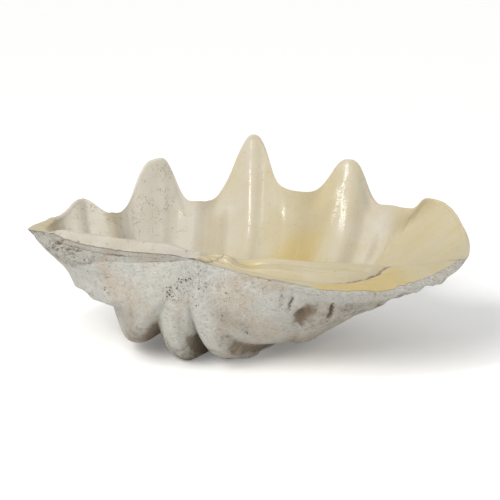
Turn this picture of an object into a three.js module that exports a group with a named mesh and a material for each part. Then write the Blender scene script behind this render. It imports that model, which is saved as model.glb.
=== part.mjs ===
// Half shell of a giant clam, one grown piece, resting on the backs of its ribs.
// X runs along the hinge, Y from the beak toward the fluted back margin, Z up. Millimetres.
//
// One closed skin in three areas that share their edges:
//   the outer face, a fan of curves from the beak round the belly to the margin;
//   the inner face, a fan of curves from the hinge plate down into the bowl and up to the margin;
//   the band between them: hinge plate on the left, lip along the back, shelf and ridge on the right.
// Both fans are read by u, 0 at the left dorsal margin and 1 at the right one,
// and v, 0 at the beak and 1 at the margin.
import * as THREE from 'three';

// ---- driving dimensions -------------------------------------------------------------------
const BEAK = [0, 0, 156];            // tip of the umbo, where the outer curves start
const PLATE = [2, 38, 157];          // back edge of the hinge plate, where the inner curves start
const MARGIN = {                     // plan of the margin, a rounded oval in two halves
  cx: 29, cy: 115, halfLength: 304, depth: 262, squareLeft: 2.13, squareRight: 2.77,
};
const LIP_THICKNESS = 9;             // wall at the back margin
const DORSAL_THICKENING = 14;        // extra wall where the margin meets the hinge line
const LIP_DROP = 3;                  // inner edge of the lip below the outer edge
const LIP_ROUND = 0.4;               // rise of the rounded lip, as a share of its width
const RIB_DEPTH = 40;                // furrow below rib crest on the outer face
const RIB_DEPTH_INSIDE = 37;         // the same waves, softened, in the bowl
const REST_LEVEL = 1.5;              // rib backs are worn flat up to here

// Five lobes of the margin: place, height, spread toward the left notch, spread toward the right.
const LOBES = [
  [0.153, 173, 0.184, 0.60], [0.315, 221.4, 0.496, 0.44], [0.460, 255.6, 0.43, 0.63],
  [0.570, 224, 0.498, 0.207], [0.743, 181, 0.40, 0.45],
];
// Notches and margin ends: place, height.
const NOTCHES = [
  [0, 154.9], [0.191, 143.7], [0.370, 148.9], [0.505, 168.8], [0.707, 167.6], [1, 148.3],
];
// Ribs and furrows round the fan: place, 0 on a crest and 1 in a furrow.
const WAVES = [
  [0, 0], [0.05, 0.25], [0.153, 0], [0.191, 1], [0.315, 0], [0.370, 1], [0.460, 0],
  [0.505, 1], [0.570, 0], [0.707, 1], [0.79, 0], [0.865, 0.55], [0.92, 0], [1, 0],
];
// Furrows deepen from the beak: place, where along the fan one begins, where it is full.
const ONSET = [
  [0, 0.02, 0.38], [0.10, 0.02, 0.38], [0.191, 0.10, 0.70], [0.32, 0.06, 0.45], [0.37, 0.05, 0.40],
  [0.51, 0.05, 0.38], [0.60, 0.05, 0.42], [0.70, 0.05, 0.48], [1, 0.05, 0.48],
];
// Share of the furrow's depth that shows in the bowl.
const INSIDE = [[0, 1], [0.62, 1], [0.70, 0.45], [0.80, 0.35], [1, 0.3]];
// Guide curves of the outer face: place, handle leaving the beak, handle reaching the margin.
const OUTER_GUIDES = [
  [0.000, [-77, -6, 153], [-202, 49, 112]],
  [0.030, [-112, -4, 138], [-266, 68, 123]],
  [0.065, [-115, -21, 115], [-248, 127, 65]],
  [0.136, [-102, -38, 96], [-254, 161, 2]],
  [0.313, [-149, -74, -4], [-133, 271, -90]],
  [0.462, [-73, -74, -20], [14, 253, -152]],
  [0.595, [-9, -74, -68], [113, 338, -53]],
  [0.782, [72, -89, 8], [143, 327, -56]],
  [0.900, [114, -41, 72], [214, 97, 26]],
  [0.960, [122, -33, 108], [264, 55, 67]],
  [1.000, [89, -19, 135], [294, -18, 97]],
];
// Guide curves of the inner face, leaving the back edge of the hinge plate.
const INNER_GUIDES = [
  [0.000, [-68, 46, 160], [-160, 72, 158]],
  [0.030, [-95, 51, 142], [-209, 92, 129]],
  [0.065, [-96, 39, 120], [-232, 127, 92]],
  [0.136, [-99, 6, 70], [-206, 157, 69]],
  [0.313, [-126, -18, 15], [-101, 229, -41]],
  [0.462, [-82, -34, 27], [40, 211, -111]],
  [0.595, [-64, -17, 38], [175, 232, -58]],
  [0.782, [58, -5, 40], [132, 274, 8]],
  [0.900, [110, -4, 103], [187, 115, 70]],
  [0.960, [111, 17, 130], [252, 45, 101]],
  [1.000, [85, 32, 146], [225, 58, 142]],
];
// Relief of the band along the hinge: height, place along (left below 0), place across, reach of each.
const HINGE_RELIEF = [
  { rise: 8, along: 0.55, across: 0.80, reachAlong: 0.42, reachAcross: 0.17 },   // lateral ridge
  { rise: -3, along: 0.62, across: 0.50, reachAlong: 0.30, reachAcross: 0.13 },  // groove beside it
  { rise: 6, along: 0.09, across: 0.70, reachAlong: 0.07, reachAcross: 0.22 },   // cardinal tooth
  { rise: -7, along: 0.23, across: 0.66, reachAlong: 0.06, reachAcross: 0.20 },  // its socket
  { rise: 4, along: -0.45, across: 0.55, reachAlong: 0.40, reachAcross: 0.30 },  // left hinge plate
];
const FLUTES = { depth: 5, count: 11, from: 0.93, start: 0.30 };  // short folds by the byssal margin
const STEPS = { count: 7, depth: 1.6 };                           // growth ledges on the outer face

// ---- how finely the skin is cut -------------------------------------------------------------
const AROUND = 76;
const ALONG = 22;
const ACROSS = 6;
const PROBE = 2e-3;                  // half step used to find the skin's direction

// ---- small helpers --------------------------------------------------------------------------
const add = (a, b, k = 1) => [a[0] + b[0] * k, a[1] + b[1] * k, a[2] + b[2] * k];
const mix = (a, b, t) => a.map((x, i) => x + (b[i] - x) * t);
const clamp = (x, lo, hi) => Math.min(hi, Math.max(lo, x));
const cross = (a, b) => [
  a[1] * b[2] - a[2] * b[1], a[2] * b[0] - a[0] * b[2], a[0] * b[1] - a[1] * b[0]];
const unit = (a) => add([0, 0, 0], a, 1 / Math.hypot(...a));
const ease = (x, from = 0, to = 1) => {
  const t = clamp((x - from) / (to - from), 0, 1);
  return t * t * (3 - 2 * t);
};
const bell = (x) => Math.exp(-x * x);

// Straight lines through [place, value] rows; k picks the value.
function alongRows(rows, x, k = 1) {
  let i = rows.findIndex((row) => row[0] > x);
  i = i < 0 ? rows.length - 1 : Math.max(1, i);
  const [a, b] = [rows[i - 1], rows[i]];
  return a[k] + (b[k] - a[k]) * (x - a[0]) / (b[0] - a[0]);
}

// Smooth curve through guide rows, slopes averaged from the neighbours; k picks the handle.
function throughGuides(rows, k, x) {
  const n = rows.length;
  const chord = (i, c) => (rows[i + 1][k][c] - rows[i][k][c]) / (rows[i + 1][0] - rows[i][0]);
  const inside = (i, c) => {
    const [before, after] = [rows[i][0] - rows[i - 1][0], rows[i + 1][0] - rows[i][0]];
    return (chord(i - 1, c) * after + chord(i, c) * before) / (before + after);
  };
  const slope = (i, c) => {
    if (i === 0) return 1.5 * chord(0, c) - 0.5 * inside(1, c);
    if (i === n - 1) return 1.5 * chord(n - 2, c) - 0.5 * inside(n - 2, c);
    return inside(i, c);
  };
  let i = rows.findIndex((row) => row[0] > x) - 1;
  if (i < 0) i = n - 2;
  const h = rows[i + 1][0] - rows[i][0];
  const t = (x - rows[i][0]) / h;
  return [0, 1, 2].map((c) => (2 * t ** 3 - 3 * t * t + 1) * rows[i][k][c]
    + (t ** 3 - 2 * t * t + t) * h * slope(i, c)
    + (3 * t * t - 2 * t ** 3) * rows[i + 1][k][c]
    + (t ** 3 - t * t) * h * slope(i + 1, c));
}

// ---- margin -----------------------------------------------------------------------------------
function marginPlan(u) {
  const power = 2 / (u < 0.5 ? MARGIN.squareLeft : MARGIN.squareRight);
  const c = Math.cos(Math.PI * u);
  const s = Math.sin(Math.PI * u);
  return [MARGIN.cx - MARGIN.halfLength * Math.sign(c) * Math.abs(c) ** power,
    MARGIN.cy + MARGIN.depth * Math.abs(s) ** power];
}

// Rounded lobes standing between wide notches.
function marginHeight(u) {
  let i = NOTCHES.findIndex((row) => row[0] > u) - 1;
  if (i < 0) i = NOTCHES.length - 2;
  const [place, height, spreadLeft, spreadRight] = LOBES[i];
  const left = u < place;
  const notch = left ? NOTCHES[i] : NOTCHES[i + 1];
  const t = (u - place) / (notch[0] - place);
  const fall = (x) => Math.exp(-((x / (left ? spreadLeft : spreadRight)) ** 2.4));
  return notch[1] + (height - notch[1]) * (fall(t) - fall(1)) / (1 - fall(1));
}

// The lobes alone, with the notches filled, steer the direction in which ribs stand out.
const calmHeight = (u) => alongRows([[0, LOBES[0][1]], ...LOBES, [1, LOBES[4][1]]], u);
const ribFade = (u) => ease(u, 0, 0.12) * ease(1 - u, 0, 0.16);
const outerEdge = (u, height = marginHeight) => [...marginPlan(u), height(u)];

function innerEdge(u, height = marginHeight) {
  const edge = outerEdge(u, height);
  const inward = unit([MARGIN.cx - edge[0], MARGIN.cy + 20 - edge[1], 0]);
  const wall = LIP_THICKNESS + (1 - ribFade(u)) * DORSAL_THICKENING;
  return add(add(edge, inward, wall), [0, 0, -LIP_DROP]);
}

// ---- the two fans -------------------------------------------------------------------------------
function fan(face, u, v, height) {
  const [a, b] = [throughGuides(face.guides, 1, u), throughGuides(face.guides, 2, u)];
  const end = face.edge(u, height);
  const w = [(1 - v) ** 3, 3 * v * (1 - v) ** 2, 3 * v * v * (1 - v), v ** 3];
  return [0, 1, 2].map((c) => w[0] * face.start[c] + w[1] * a[c] + w[2] * b[c] + w[3] * end[c]);
}

function towardBowl(face, u, v) {
  const [x, y] = [clamp(u, PROBE, 1 - PROBE), clamp(v, 0.02, 1 - PROBE)];
  const around = add(fan(face, x + PROBE, y, calmHeight), fan(face, x - PROBE, y, calmHeight), -1);
  const outward = add(fan(face, x, y + PROBE, calmHeight), fan(face, x, y - PROBE, calmHeight), -1);
  return unit(cross(around, outward));
}

// Rounded crests with sharp furrows on the belly, wide crests with round furrows where soft is 1.
function wave(u, soft) {
  const p = alongRows(WAVES, u);
  const sharp = 1 - Math.cos(Math.PI / 2 * p);
  return sharp + (ease(p, 0.15, 1) - sharp) * soft;
}

const OUTER = { guides: OUTER_GUIDES, start: BEAK, edge: outerEdge };
const INNER = { guides: INNER_GUIDES, start: PLATE, edge: innerEdge };

function outerPoint(u, v) {
  const fade = ribFade(u);
  const soft = ease(v, 0.55, 0.95) + 0.8 * (1 - ease(v, 0.1, 0.3));
  const ribs = RIB_DEPTH * ease(v, alongRows(ONSET, u, 1), alongRows(ONSET, u, 2)) * wave(u, soft) * fade;
  const late = ease(v, FLUTES.start, FLUTES.start + 0.1) * ease(1 - v, 0, 0.08);
  const flutes = FLUTES.depth * (0.5 - 0.5 * Math.cos(2 * Math.PI * FLUTES.count * v))
    * late * ease(u, FLUTES.from, 0.97) * ease(1 - u, 0, 0.01);
  const age = v * STEPS.count;
  const ledge = STEPS.depth * (age - Math.floor(age)) * ease(1 - v, 0, 0.05) * ease(v, 0.1, 0.3) * fade;
  const p = add(fan(OUTER, u, v, marginHeight), towardBowl(OUTER, u, v), ribs + flutes + ledge);
  p[2] = Math.max(p[2], REST_LEVEL);
  return p;
}

function innerPoint(u, v) {
  const depth = RIB_DEPTH_INSIDE + (RIB_DEPTH - RIB_DEPTH_INSIDE) * ease(v, 0.45, 0.8);
  const inside = alongRows(INSIDE, u);
  const share = inside + (1 - inside) * ease(v, 0.8, 1);
  const ribs = depth * share * ease(v, 0.08, 0.5) * wave(u, 1) * ribFade(u);
  return add(fan(INNER, u, v, marginHeight), towardBowl(INNER, u, v), ribs);
}

// ---- the skin -------------------------------------------------------------------------------------
const corners = [];
const faces = [];
const put = (p) => corners.push(p) - 1;
const quad = (a, b, c, d) => faces.push([a, b, c], [a, c, d]);

function fanCorners(point, start) {
  const pole = put(start);
  return Array.from({ length: AROUND + 1 }, (_, i) => Array.from({ length: ALONG + 1 },
    (_, j) => (j === 0 ? pole : put(point(i / AROUND, j / ALONG)))));
}

const outer = fanCorners(outerPoint, BEAK);
const inner = fanCorners(innerPoint, PLATE);

for (let i = 0; i < AROUND; i += 1) {
  faces.push([outer[i][0], outer[i][1], outer[i + 1][1]]);
  faces.push([inner[i][0], inner[i + 1][1], inner[i][1]]);
  for (let j = 1; j < ALONG; j += 1) {
    quad(outer[i][j], outer[i][j + 1], outer[i + 1][j + 1], outer[i + 1][j]);
    quad(inner[i][j], inner[i + 1][j], inner[i + 1][j + 1], inner[i][j + 1]);
  }
}

// Once round the edge: left hinge side, back margin, right side, and home to the beak.
const round = [];
for (let j = 0; j < ALONG; j += 1) round.push({ i: 0, j, hinge: -j / ALONG, lip: 0 });
for (let i = 0; i < AROUND; i += 1) {
  round.push({ i, j: ALONG, hinge: i < AROUND / 2 ? -1 : 1, lip: ribFade(i / AROUND) });
}
for (let j = ALONG; j > 0; j -= 1) round.push({ i: AROUND, j, hinge: j / ALONG, lip: 0 });

function bandHeight({ hinge, lip }, s, width) {
  const rounded = lip * LIP_ROUND * Math.min(width, LIP_THICKNESS) * Math.sqrt(Math.max(0, 1 - (2 * s - 1) ** 2));
  const ends = ease(1 - Math.abs(hinge), 0, 0.15) * ease(s, 0, 0.15) * ease(1 - s, 0, 0.1);
  const relief = HINGE_RELIEF.reduce((sum, f) => sum + f.rise
    * bell((hinge - f.along) / f.reachAlong) * bell((s - f.across) / f.reachAcross), 0);
  return rounded + relief * ends;
}

const rings = round.map((place) => {
  const [from, to] = [outer[place.i][place.j], inner[place.i][place.j]];
  const width = Math.hypot(...add(corners[to], corners[from], -1));
  const ring = [from];
  for (let k = 1; k < ACROSS; k += 1) {
    const s = k / ACROSS;
    const p = mix(corners[from], corners[to], s);
    ring.push(put(add(p, [0, 0, bandHeight(place, s, width)])));
  }
  return [...ring, to];
});
rings.forEach((ring, n) => {
  const next = rings[(n + 1) % rings.length];
  for (let k = 0; k < ACROSS; k += 1) quad(ring[k], ring[k + 1], next[k + 1], next[k]);
});

// ---- the piece, standing on its worn rib backs, centred on the ground --------------------------------
const skin = new THREE.BufferGeometry();
skin.setAttribute('position', new THREE.Float32BufferAttribute(corners.flat(), 3));
skin.setIndex(faces.flat());
skin.computeVertexNormals();
skin.computeBoundingBox();
const { min, max } = skin.boundingBox;
skin.translate(-(min.x + max.x) / 2, -(min.y + max.y) / 2, -min.z);

const shell = new THREE.MeshStandardMaterial({ color: '#ddd6c6', roughness: 0.6, metalness: 0 });
shell.name = 'shell';
const valve = new THREE.Mesh(skin, shell);
valve.name = 'half_shell';

const clam = new THREE.Group();
clam.name = 'giant_clam_half_shell';
clam.add(valve);
export default clam;
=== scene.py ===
import math
from functools import partial

import bpy
import numpy as np
from bpy.props import FloatProperty, FloatVectorProperty, IntProperty, PointerProperty
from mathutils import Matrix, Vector


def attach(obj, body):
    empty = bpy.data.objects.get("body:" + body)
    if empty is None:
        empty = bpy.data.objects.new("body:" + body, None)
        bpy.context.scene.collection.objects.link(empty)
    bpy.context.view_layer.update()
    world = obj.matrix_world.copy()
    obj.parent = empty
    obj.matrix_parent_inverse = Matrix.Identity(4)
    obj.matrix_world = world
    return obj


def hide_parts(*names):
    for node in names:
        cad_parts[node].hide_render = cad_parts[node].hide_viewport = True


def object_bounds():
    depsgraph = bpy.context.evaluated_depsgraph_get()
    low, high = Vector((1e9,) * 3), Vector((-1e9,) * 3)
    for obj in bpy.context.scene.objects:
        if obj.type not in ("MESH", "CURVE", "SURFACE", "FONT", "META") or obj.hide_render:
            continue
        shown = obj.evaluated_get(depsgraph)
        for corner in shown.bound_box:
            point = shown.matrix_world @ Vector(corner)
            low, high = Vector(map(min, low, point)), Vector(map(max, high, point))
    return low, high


bl_info = {
    "name": "Giant clam half shell",
    "version": (1, 0, 0),
    "blender": (4, 5, 0),
    "location": "View3D > Sidebar > Shell",
    "description": "One valve of a giant clam, chalky outside and porcelain inside, with its studio",
    "category": "Add Mesh",
}

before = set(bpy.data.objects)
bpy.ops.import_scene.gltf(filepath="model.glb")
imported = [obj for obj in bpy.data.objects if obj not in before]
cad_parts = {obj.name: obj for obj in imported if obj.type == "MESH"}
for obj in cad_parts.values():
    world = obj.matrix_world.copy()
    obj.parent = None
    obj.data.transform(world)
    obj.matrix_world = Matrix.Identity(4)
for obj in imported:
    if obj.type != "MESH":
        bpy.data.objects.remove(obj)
CAD_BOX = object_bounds()
MM = 0.001
CARD_RADIUS = 40
AIM = (0.005, -0.0315, 0.0053)  # where the camera looks, from the middle of the CAD box

# ---- the valve's growth plan, millimetres, beak over the plan origin ----
# u runs round the fan from the left dorsal margin (0) to the right one (1), v from beak (0) to margin (1).
# h runs along the hinge from the beak to the left end (-1) or the right end (1), s across its band, inward.
BEAK = (0, 0, 156)
PLATE = (2, 38, 157)  # where the inner fan starts
MARGIN = {"cx": 29, "cy": 115, "half_length": 304, "depth": 262, "square_left": 2.13, "square_right": 2.77}
LOBES = (  # place, height, spread toward the left notch, spread toward the right notch, bluntness
    (.156, 171.5, .21, .66, 3.0),
    (.307, 218.7, .475, .5, 2.7),
    (.46, 252.8, .43, .64, 2.4),
    (.569, 222, .46, .225, 2.9),
    (.743, 181, .4, .45, 2.4))
NOTCHES = (  # place, height
    (0, 154.9), (.191, 135), (.37, 147.5), (.505, 165.5), (.707, 161), (1, 148.3))
FIRST_NOTCH, LAST_NOTCH = NOTCHES[1][0], NOTCHES[4][0]
WAVES = (  # place, 0 on a rib's crest and 1 in a furrow
    (0, 0), (.05, .25), (.153, 0), (.191, 1), (.308, 0), (.37, 1), (.46, 0),
    (.505, 1), (.57, 0), (.707, 1), (.79, 0), (.865, .3), (.92, 0), (1, 0))
ONSET = (  # place, where along the fan a furrow begins, where it is full
    (0, .02, .38), (.1, .02, .38), (.191, .1, .7), (.32, .06, .45), (.37, .05, .4),
    (.51, .05, .38), (.6, .09, .45), (.7, .13, .52), (1, .13, .52))
INSIDE = (  # place, share of a furrow's depth shown high in the bowl
    (0, 1), (.62, 1), (.7, .45), (.8, .3), (1, .3))
OUTER_GUIDES = (  # place, handle leaving the beak, handle reaching the margin
    (0.000, (-77, -6, 153), (-202, 49, 112)),
    (0.030, (-112, -4, 138), (-266, 68, 123)),
    (0.065, (-115, -21, 115), (-248, 127, 65)),
    (0.136, (-102, -38, 96), (-254, 161, 2)),
    (0.313, (-149, -74, -4), (-133, 271, -90)),
    (0.462, (-73, -74, -20), (14, 253, -152)),
    (0.595, (-9, -74, -68), (113, 338, -53)),
    (0.782, (72, -89, 8), (143, 327, -56)),
    (0.900, (114, -41, 72), (214, 97, 26)),
    (0.960, (122, -33, 108), (264, 55, 67)),
    (1.000, (89, -19, 135), (294, -18, 97)))
INNER_GUIDES = (  # the same for the inner fan, from the plate
    (0.000, (-68, 46, 160), (-160, 72, 158)),
    (0.030, (-95, 51, 142), (-209, 92, 129)),
    (0.065, (-96, 39, 120), (-232, 127, 92)),
    (0.136, (-99, 6, 70), (-206, 157, 69)),
    (0.313, (-126, -18, 15), (-101, 229, -41)),
    (0.462, (-82, -34, 27), (40, 211, -111)),
    (0.595, (-64, -17, 38), (175, 232, -58)),
    (0.782, (58, -5, 40), (132, 274, 8)),
    (0.900, (110, -4, 103), (187, 115, 70)),
    (0.960, (111, 17, 130), (252, 45, 101)),
    (1.000, (85, 32, 146), (225, 58, 142)))
DORSAL_THICKENING = 14
LIP_DROP = 3
LIP_ROUND = 0.4  # height of the rounded lip as a share of its width
LIP_WIDEST = 9
RIB_DEPTH_INSIDE = 37
REST_LEVEL = 1.5
# Crease below the ligament seat, on the outside: growth place v, place u.
CREASE = (
    (0, .02), (.1, .026), (.2, .021), (.32, .02), (.43, .038), (.59, .054), (.8, .05), (1, .02))
# Groove beside the lateral ridge: along the right side, across the band.
GROOVE = ((.28, .3), (.45, .36), (.56, .44), (.66, .66), (.76, 1.02))
# Ligament groove: along the left side (negative), across the band.
LIGAMENT = (
    (-1, .9), (-.93, .62), (-.8, .48), (-.5, .4), (-.3, .36), (-.12, .22), (0, .04))
# Crooked groove of the hinge tooth beside the beak: along the hinge, across the band.
TOOTH = (
    (-.06, .2), (0, .1), (.045, .13), (.075, .34), (.1, .58), (.125, .78), (.16, .86))
# Width of the chalky border on the right: along the hinge margin, across the band.
CHALKY = (
    (0, .06), (.2, .04), (.27, .08), (.34, .15), (.42, .08), (.63, .1), (.83, .34), (1, .52))

# Rows for bells(): height, place, reach.
WALL_EVEN = (  # millimetres that even out the inner wall under the margin, along u
    (-3, .186, .02), (-3, .3, .025), (6, .345, .018), (9, .407, .02), (-3, .46, .018),
    (6, .535, .016), (-1, .577, .018), (12, .621, .021))
SLITS = (  # millimetres cut under the right margin, along it
    (3, .316, .004), (4, .346, .005), (1.5, .372, .003), (2, .404, .01), (2, .44, .004),
    (6, .485, .004), (1.5, .51, .004), (2, .535, .003), (4.5, .581, .003), (2, .615, .004),
    (3, .66, .003), (2.5, .715, .004), (3, .77, .003), (2, .84, .004))
IVORY_AND_SHADE_TROUGHS = (  # deeper and paler tints down the bowl, along u; the deeper ones beside the first and third notches are partly painted shade
    (.26, .2, .022), (.08, .395, .02), (.1, .51, .02), (.26, .537, .022), (-.14, .64, .03))

# Rows for spots(): height, place and reach one way, place and reach the other way.
KNOBS = (  # millimetres sunk in the outside, along u and v
    (8, .91, .028, .404, .024), (3, .915, .02, .47, .03), (-5, .632, .025, .4, .045),
    (-9, .652, .033, .27, .1), (-3, .6, .015, .45, .03), (4, .8, .012, .27, .05),
    (3, .15, .03, .6, .03), (-4, .11, .03, .62, .05), (2.5, .345, .02, .2, .03))
MOUNDS = (  # millimetres raised on the hinge band, along h and s
    (6, .09, .06, .7, .2), (-4.5, .215, .055, .62, .2), (3, .02, .05, .4, .16),
    (4.5, .128, .03, .55, .2), (2.5, .5, .34, .86, .1), (-1.8, .42, .25, .72, .035),
    (1.2, .45, .2, .6, .03))
HOLES = (  # millimetres worn out of the ligament seat, along h and s
    (5, -.812, .012, .45, .07), (4, -.725, .01, .3, .05), (3, -.7, .007, .34, .04),
    (4, -.672, .01, .31, .05), (2, -.69, .02, .14, .03), (2.5, -.5, .022, .36, .025),
    (2, -.455, .016, .38, .02), (1.5, -.4, .012, .36, .015))
POLISH_SPOTS = (  # gloss on the rims between lobes, along u and v
    (1, .503, .012, .958, .012), (.7, .612, .01, .985, .006), (.6, .34, .01, .945, .012))
DIRT_AND_SHADE_SPOTS = (  # silt with painted shade on the outside, along u and v: on the fourth and second ribs' faces and in the hollow under the right margin, with one spot that takes some off lower on the fourth rib
    (.22, .775, .045, .17, .07), (.34, .28, .06, .28, .1), (-.45, .61, .05, .4, .08),
    (1.0, .91, .026, .404, .021))
PATINA_AND_SHADE_SPOTS = (  # tan film on the outside, along u and v: a smudge on the second rib, and painted shade on the third and fourth ribs' faces
    (.55, .27, .09, .3, .14), (.45, .775, .05, .17, .08), (.32, .475, .03, .17, .07))
PIT_SPOTS = (  # crowded pits on the outside, along u and v
    (.55, .15, .05, .58, .1), (.55, .08, .05, .4, .1), (.55, .97, .02, .24, .06),
    (.55, .8, .05, .2, .1))


def ease(x, a=0.0, b=1.0):
    """0 below a, 1 above b, and between them an even S, three t squared less two t cubed."""
    t = np.clip((x - a) / (b - a), 0, 1)
    return t * t * (3 - 2 * t)


def bell(x):
    """e to the minus x squared: 1 at 0, next to nothing by 2."""
    return np.exp(-x * x)


def bells(rows, x):
    """Sum of bells along x: each is height times the bell of the distance from place over reach."""
    return sum(height * bell((x - place) / reach) for height, place, reach in rows)


def spots(rows, x, y):
    """Sum of round humps: each is height times a bell along x times a bell along y."""
    return sum(height * bell((x - a) / ra) * bell((y - b) / rb) for height, a, ra, b, rb in rows)


def column(rows, k):
    """The k-th number of every row."""
    return np.array([r[k] for r in rows], float)


def follow(rows, x, k=1):
    """Straight lines from row to row: place in the first number, value in the k-th."""
    return np.interp(x, column(rows, 0), column(rows, k))


def lattice(p, seed):
    """Smooth random height, -1 to 1: fixed random values at whole-number points, joined by even S curves.
    Each value is its point's numbers and the seed, times large primes, with the bits scrambled."""
    cell = np.floor(p).astype(np.int64)
    f = p - cell
    f = f * f * (3 - 2 * f)
    total = 0
    for corner in np.ndindex(2, 2, 2):
        c = cell + corner
        h = (c[..., 0] * 73856093 ^ c[..., 1] * 19349663 ^ c[..., 2] * 83492791 ^ seed * 2654435761) & 0xFFFFFFFF
        h = ((h ^ (h >> 15)) * 2246822519) & 0xFFFFFFFF
        h = ((h ^ (h >> 13)) * 3266489917) & 0xFFFFFFFF
        w = np.prod([f[..., i] if corner[i] else 1 - f[..., i] for i in range(3)], axis=0)
        total += w * ((h ^ (h >> 16)) / 0x7FFFFFFF - 1)
    return total


def flat_lattice(x, y, seed):
    """The lattice over two numbers, for lines and patches that run with the shell's own directions."""
    return lattice(np.stack([x, y, 0 * x], -1), seed)


def rough(p, size, seed, layers=3):
    """Several lattices, each half as large and half as high as the one before. size is the widest lump in mm."""
    return sum(lattice(p / size * 2 ** k, seed + k) / 2 ** k for k in range(layers))


def through(rows, k, x):
    """Smooth curve through guide rows: each piece is a cubic whose end slopes average its neighbours' slopes."""
    at, val = column(rows, 0), np.array([r[k] for r in rows], float)
    step = np.diff(at)
    chord = np.diff(val, axis=0) / step[:, None]
    slope = np.empty_like(val)
    slope[1:-1] = (chord[:-1] * step[1:, None] + chord[1:] * step[:-1, None]) / (step[1:] + step[:-1])[:, None]
    slope[0] = 1.5 * chord[0] - 0.5 * slope[1]
    slope[-1] = 1.5 * chord[-1] - 0.5 * slope[-2]
    i = np.clip(np.searchsorted(at, x, side="right") - 1, 0, len(at) - 2)
    h = step[i][..., None]
    t = ((x - at[i]) / step[i])[..., None]
    return ((2 * t**3 - 3 * t**2 + 1) * val[i] + (t**3 - 2 * t**2 + t) * h * slope[i]
            + (3 * t**2 - 2 * t**3) * val[i + 1] + (t**3 - t**2) * h * slope[i + 1])


def margin_height(u):
    """Each lobe falls to its two notches as e to the minus (distance over spread) to the power of its bluntness.
    The edge is a little chipped."""
    places = column(NOTCHES, 0)
    i = np.clip(np.searchsorted(places, u, side="right") - 1, 0, len(LOBES) - 1)
    lobe = np.array(LOBES)[i]
    left = u < lobe[..., 0]
    notch = np.array(NOTCHES, float)[np.where(left, i, i + 1)]
    spread, blunt = np.where(left, lobe[..., 2], lobe[..., 3]), lobe[..., 4]
    t = (u - lobe[..., 0]) / (notch[..., 0] - lobe[..., 0])
    fall, foot = np.exp(-((t / spread) ** blunt)), np.exp(-((1 / spread) ** blunt))
    chips = flat_lattice(u * 70, 0 * u, 5) + 0.6 * flat_lattice(u * 190, 0 * u, 6)
    return notch[..., 1] + (lobe[..., 1] - notch[..., 1]) * (fall - foot) / (1 - foot) + 0.9 * chips


def calm_height(u):
    """The margin with its notches filled: straight lines from lobe top to lobe top."""
    return follow(LOBES, u)


def rib_fade(u):
    """1 on the fan's middle, falling along an S to 0 at both dorsal margins, where the ribs die out."""
    return ease(u, 0, 0.12) * ease(1 - u, 0, 0.16)


def outer_edge(u, height=margin_height):
    """A rounded oval in plan at the margin's height: x is a cosine and y a sine of half a turn, both to a power that
    squares the oval, less on the left."""
    power = 2 / np.where(u < 0.5, MARGIN["square_left"], MARGIN["square_right"])
    c, s = np.cos(np.pi * u), np.sin(np.pi * u)
    x = MARGIN["cx"] - MARGIN["half_length"] * np.sign(c) * np.abs(c) ** power
    return np.stack([x, MARGIN["cy"] + MARGIN["depth"] * np.abs(s) ** power, height(u)], -1)


def inner_edge(u, wall, height=margin_height):
    """The outer edge moved level toward the middle of the bowl by the wall, and dropped a little."""
    edge = outer_edge(u, height)
    inward = np.stack([MARGIN["cx"] - edge[..., 0], MARGIN["cy"] + 20 - edge[..., 1], 0 * u], -1)
    inward /= np.linalg.norm(inward, axis=-1, keepdims=True)
    return edge + inward * (wall + (1 - rib_fade(u)) * DORSAL_THICKENING)[..., None] - (0, 0, LIP_DROP)


def fan(guides, start, edge, u, v, height=margin_height):
    """Cubic Bezier in v from the start to the edge, its two handles read from the guides at u."""
    a, b, t = through(guides, 1, u), through(guides, 2, u), v[..., None]
    return ((1 - t) ** 3 * np.array(start, float) + 3 * t * (1 - t) ** 2 * a + 3 * t * t * (1 - t) * b
            + t**3 * edge(u, height))


def toward_bowl(guides, start, edge, u, v, probe=2e-3):
    """Unit direction square to the calm fan: the cross product of a small step along u and one along v."""
    u, v = np.clip(u, probe, 1 - probe), np.clip(v, 10 * probe, 1 - probe)
    calm = partial(fan, guides, start, edge, height=calm_height)
    n = np.cross(calm(u + probe, v) - calm(u - probe, v), calm(u, v + probe) - calm(u, v - probe))
    return n / np.linalg.norm(n, axis=-1, keepdims=True)


def wave(u, soft):
    """Depth below the crest, 0 to 1: one less a cosine, with rounded crests and sharp furrows, turned by soft to an
    S curve, with wide crests and round furrows."""
    p = follow(WAVES, u)
    sharp = 1 - np.cos(np.pi / 2 * p)
    return sharp + (ease(p, 0.15, 1) - sharp) * soft


def onset(u, v):
    """Furrows deepen from the beak along an S, each over its own stretch."""
    return ease(v, follow(ONSET, u, 1), follow(ONSET, u, 2))


def ledges(v, p, count, seed):
    """Sawtooth along v, 0 to 1: each layer swells toward the margin and ends in a small drop."""
    age = v * count + 0.35 * lattice(p / 70, seed)
    whole = np.floor(age)
    height = 0.45 + 0.55 * (0.5 + 0.5 * flat_lattice(whole * 7.3, 0 * whole, seed + 1))
    part = age - whole
    return height * part**1.5 * ease(1 - part, 0, 0.18)


def calmer(u, v):
    """Share of the rib depth left on the right third, where the ribs flatten away from the margin."""
    return 1 - 0.55 * ease(u, 0.64, 0.7) * (0.5 + 0.5 * ease(1 - v, 0, 0.07))


def slit_depth(u, v, p):
    """Narrow clefts across the right margin's layers, in millimetres: bells along a slanted, wandering line of
    growth, deeper and shallower in patches."""
    at = v + 0.45 * (u - 0.925) + 0.007 * lattice(p / 12, 21) + 0.003 * lattice(p / 5, 24)
    ragged = 0.012 * lattice(p / 16, 25)
    strength = 1.0 + 0.5 * lattice(p / 22, 26)
    return strength * bells(SLITS, at) * ease(u + ragged, 0.885, 0.92) * ease(0.962 + ragged - u, 0, 0.022)


def crease_place(v):
    """Where the crease below the ligament seat runs across the outside, as a place u."""
    return follow(CREASE, v)


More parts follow.
